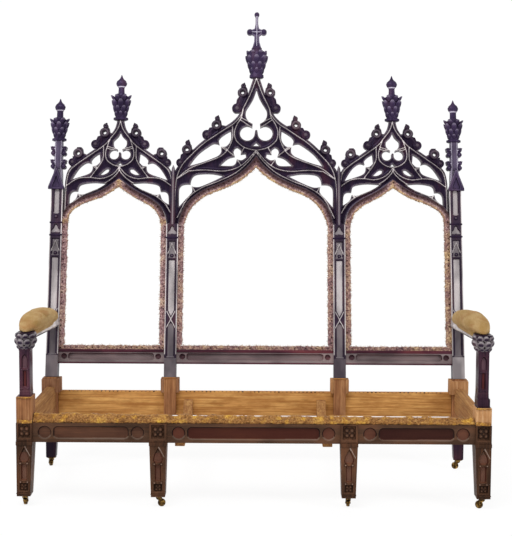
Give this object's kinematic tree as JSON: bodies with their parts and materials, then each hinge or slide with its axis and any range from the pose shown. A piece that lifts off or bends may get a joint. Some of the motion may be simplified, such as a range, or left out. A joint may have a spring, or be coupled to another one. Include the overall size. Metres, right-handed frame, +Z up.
{
  "type": "settee",
  "caption": "Gothic Revival settee frame stripped of its covers: pierced ogee crests over open back bays, raw seat rails, padded arms, legs on brass casters.",
  "frame": {"origin": "on the floor, under the middle of the settee's overall width and depth", "axes": "+Z up, +X to the right of someone who faces the settee, the sitter faces -Y"},
  "size_m": [1.8618, 0.9158, 2.0025],
  "materials": {
    "rosewood": "carved and French polished, worn",
    "raw_ash": "raw sawn, aged and unfinished",
    "raw_pine": "raw sawn packing, unfinished",
    "tacking_strip": "torn cover and webbing on a wood strip",
    "worn_velvet": "worn short pile",
    "brass": "cast and aged"
  },
  "bodies": {
    "frame": {"arm_pad_left": "worn_velvet", "arm_pad_right": "worn_velvet", "arm_post_left": "rosewood", "arm_post_right": "rosewood", "arm_rail_left": "rosewood", "arm_rail_right": "rosewood", "back_seat_rail": "raw_ash", "back_tack_frame_centre": "tacking_strip", "back_tack_frame_left": "tacking_strip", "back_tack_frame_right": "tacking_strip", "caster_plate_front_inner_left": "brass", "caster_plate_front_inner_right": "brass", "caster_plate_front_left": "brass", "caster_plate_front_right": "brass", "caster_plate_rear_left": "brass", "caster_plate_rear_right": "brass", "crest_centre": "rosewood", "crest_left": "rosewood", "crest_right": "rosewood", "cross_brace_left": "raw_ash", "cross_brace_right": "raw_ash", "finial_centre": "rosewood", "finial_left": "rosewood", "finial_right": "rosewood", "front_leg_corner_left": "rosewood", "front_leg_corner_right": "rosewood", "front_leg_inner_left": "rosewood", "front_leg_inner_right": "rosewood", "front_rail_centre": "rosewood", "front_rail_left": "rosewood", "front_rail_right": "rosewood", "front_tack_rail": "raw_ash", "lower_back_rail_centre": "rosewood", "lower_back_rail_left": "rosewood", "lower_back_rail_right": "rosewood", "mid_stile_left": "rosewood", "mid_stile_right": "rosewood", "outer_stile_left": "rosewood", "outer_stile_right": "rosewood", "packing_mid_left": "raw_pine", "packing_mid_right": "raw_pine", "packing_outer_left": "raw_pine", "packing_outer_right": "raw_pine", "pinnacle_left": "rosewood", "pinnacle_right": "rosewood", "side_rail_left": "rosewood", "side_rail_right": "rosewood"},
    "horn_front_left": {"caster_horn_front_left": "brass"},
    "wheel_front_left": {"caster_wheel_front_left": "brass"},
    "horn_front_inner_left": {"caster_horn_front_inner_left": "brass"},
    "wheel_front_inner_left": {"caster_wheel_front_inner_left": "brass"},
    "horn_front_inner_right": {"caster_horn_front_inner_right": "brass"},
    "wheel_front_inner_right": {"caster_wheel_front_inner_right": "brass"},
    "horn_front_right": {"caster_horn_front_right": "brass"},
    "wheel_front_right": {"caster_wheel_front_right": "brass"},
    "horn_rear_left": {"caster_horn_rear_left": "brass"},
    "wheel_rear_left": {"caster_wheel_rear_left": "brass"},
    "horn_rear_right": {"caster_horn_rear_right": "brass"},
    "wheel_rear_right": {"caster_wheel_rear_right": "brass"}
  },
  "joints": [
    {"name": "caster_swivel_front_left", "type": "hinge", "parent": "frame", "child": "horn_front_left", "pos_m": [-0.8835, -0.42288, 0.04], "axis": [0, 0, 1], "continuous": true},
    {"name": "caster_roll_front_left", "type": "hinge", "parent": "horn_front_left", "child": "wheel_front_left", "pos_m": [-0.8835, -0.41088, 0.015], "axis": [-1, 0, 0], "continuous": true},
    {"name": "caster_swivel_front_inner_left", "type": "hinge", "parent": "frame", "child": "horn_front_inner_left", "pos_m": [-0.3665, -0.42288, 0.04], "axis": [0, 0, 1], "continuous": true},
    {"name": "caster_roll_front_inner_left", "type": "hinge", "parent": "horn_front_inner_left", "child": "wheel_front_inner_left", "pos_m": [-0.3545, -0.42288, 0.015], "axis": [0, 1, 0], "continuous": true},
    {"name": "caster_swivel_front_inner_right", "type": "hinge", "parent": "frame", "child": "horn_front_inner_right", "pos_m": [0.3665, -0.42288, 0.04], "axis": [0, 0, 1], "continuous": true},
    {"name": "caster_roll_front_inner_right", "type": "hinge", "parent": "horn_front_inner_right", "child": "wheel_front_inner_right", "pos_m": [0.3665, -0.41088, 0.015], "axis": [-1, 0, 0], "continuous": true},
    {"name": "caster_swivel_front_right", "type": "hinge", "parent": "frame", "child": "horn_front_right", "pos_m": [0.8835, -0.42288, 0.04], "axis": [0, 0, 1], "continuous": true},
    {"name": "caster_roll_front_right", "type": "hinge", "parent": "horn_front_right", "child": "wheel_front_right", "pos_m": [0.8715, -0.42288, 0.015], "axis": [0, -1, 0], "continuous": true},
    {"name": "caster_swivel_rear_left", "type": "hinge", "parent": "frame", "child": "horn_rear_left", "pos_m": [-0.8835, 0.09712, 0.04], "axis": [0, 0, 1], "continuous": true},
    {"name": "caster_roll_rear_left", "type": "hinge", "parent": "horn_rear_left", "child": "wheel_rear_left", "pos_m": [-0.88857, 0.108, 0.015], "axis": [-0.9063, -0.4226, 0], "continuous": true},
    {"name": "caster_swivel_rear_right", "type": "hinge", "parent": "frame", "child": "horn_rear_right", "pos_m": [0.8835, 0.09712, 0.04], "axis": [0, 0, 1], "continuous": true},
    {"name": "caster_roll_rear_right", "type": "hinge", "parent": "horn_rear_right", "child": "wheel_rear_right", "pos_m": [0.8715, 0.09712, 0.015], "axis": [0, -1, 0], "continuous": true}
  ]
}
